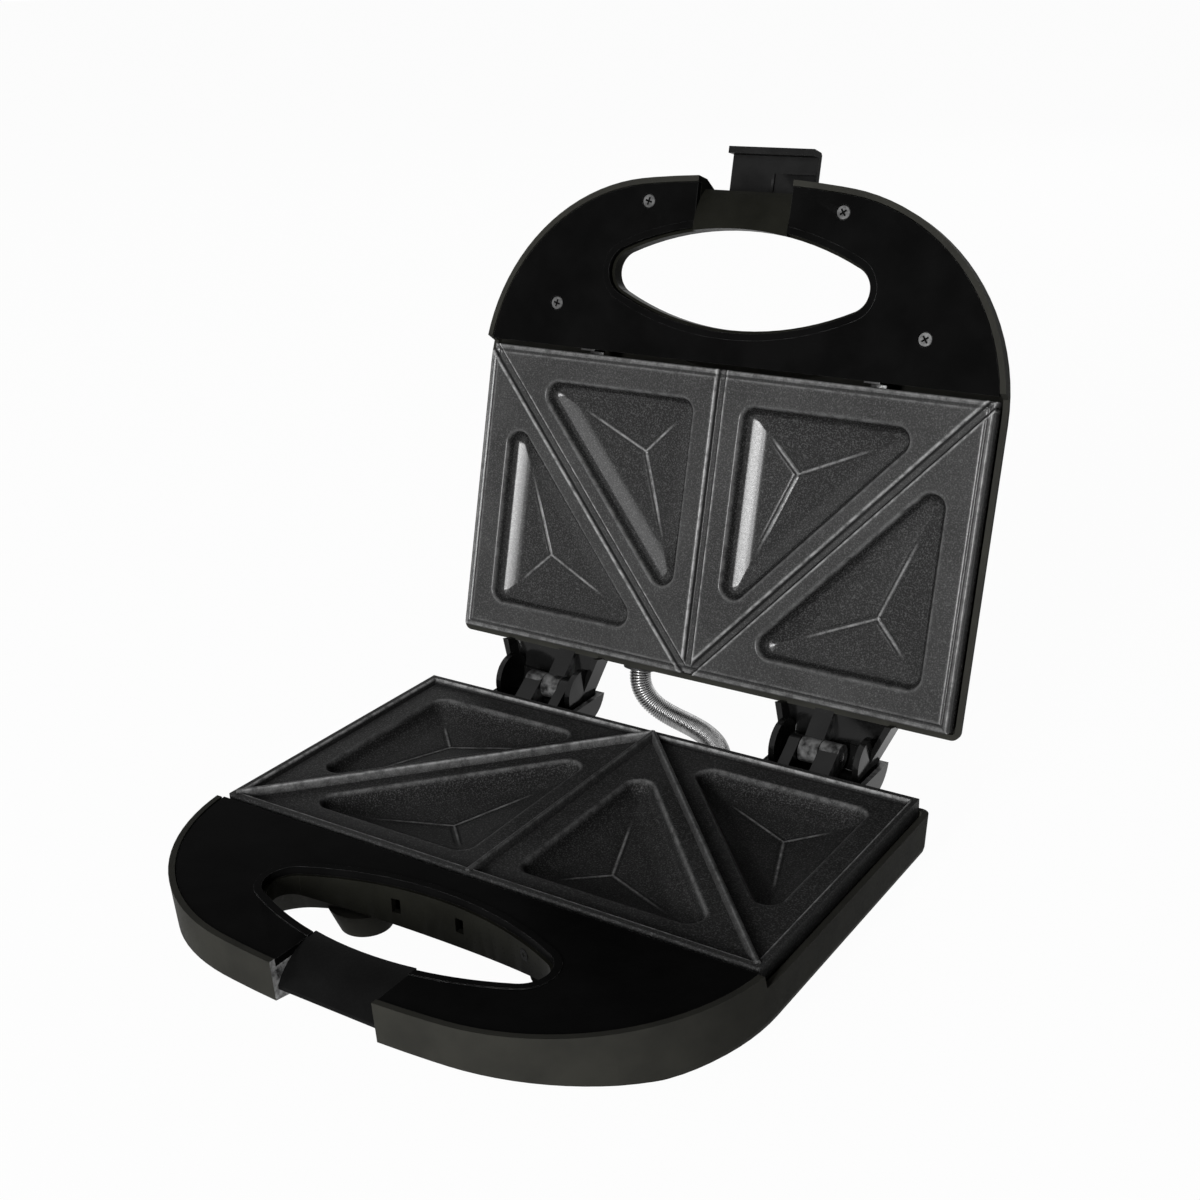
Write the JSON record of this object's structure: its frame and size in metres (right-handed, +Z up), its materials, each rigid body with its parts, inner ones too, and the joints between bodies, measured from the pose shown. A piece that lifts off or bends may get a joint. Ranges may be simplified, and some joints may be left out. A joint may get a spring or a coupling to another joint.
{
  "type": "sandwich toaster",
  "caption": "Hinged electric sandwich toaster standing open, with ribbed and pocketed cooking plates, a hand opening in each shell, a front latch and a sprung metal conduit between the shells.",
  "frame": {"origin": "centre of the foot pads, on the surface that the toaster stands on", "axes": "+X along the hinge axis to the toaster's right as seen from its front, -Y to the front handle, +Z up; the lid is stored open as in the picture"},
  "size_m": [0.2294, 0.2974, 0.2461],
  "materials": {
    "casing": "matte",
    "panel": "gloss",
    "plate": "speckled non-stick coating",
    "element": "heat-tinted",
    "sheet": "bright",
    "screw": "zinc plated",
    "clip": "bright",
    "rubber": "matte",
    "ceramic": "glazed",
    "block": "unglazed",
    "bushing": "matte",
    "red_lens": "clear tinted",
    "green_lens": "clear tinted",
    "lamp": "clear",
    "latch": "satin",
    "pin": "satin",
    "leads": "woven sleeve",
    "conduit": "bright"
  },
  "bodies": {
    "base": {"base_casing": "casing", "base_handle_panel": "panel", "base_plate": "plate", "base_heater": "element", "base_reflector": "sheet", "base_reflector_screws": "screw", "base_plate_clips": "clip", "base_panel_screws": "screw", "rubber_feet": "rubber", "thermal_fuse": "ceramic", "terminal_block": "block", "cord_gland": "bushing", "left_hinge_pin": "pin", "right_hinge_pin": "pin", "base_conduit_collar": "bushing", "conduit_leads": "leads", "spring_conduit": "conduit"},
    "lid": {"lid_casing": "casing", "lid_handle_panel": "panel", "lid_plate": "plate", "lid_heater": "element", "lid_reflector": "sheet", "lid_reflector_screws": "screw", "lid_plate_clips": "clip", "lid_panel_screws": "screw", "thermostat": "ceramic", "power_lens": "red_lens", "ready_lens": "green_lens", "neon_lamps": "lamp", "latch_pin": "pin", "lid_conduit_collar": "bushing"},
    "latch": {"latch": "latch"}
  },
  "joints": [
    {"name": "lid_hinge", "type": "hinge", "parent": "base", "child": "lid", "pos_m": [0, 0.085, 0.032], "axis": [1, 0, 0], "range_deg": [0, 105], "deforming": ["spring_conduit", "conduit_leads"]},
    {"name": "latch_pivot", "type": "hinge", "parent": "lid", "child": "latch", "pos_m": [0, 0.14874, 0.22352], "axis": [1, 0, 0], "range_deg": [0, 90]}
  ]
}
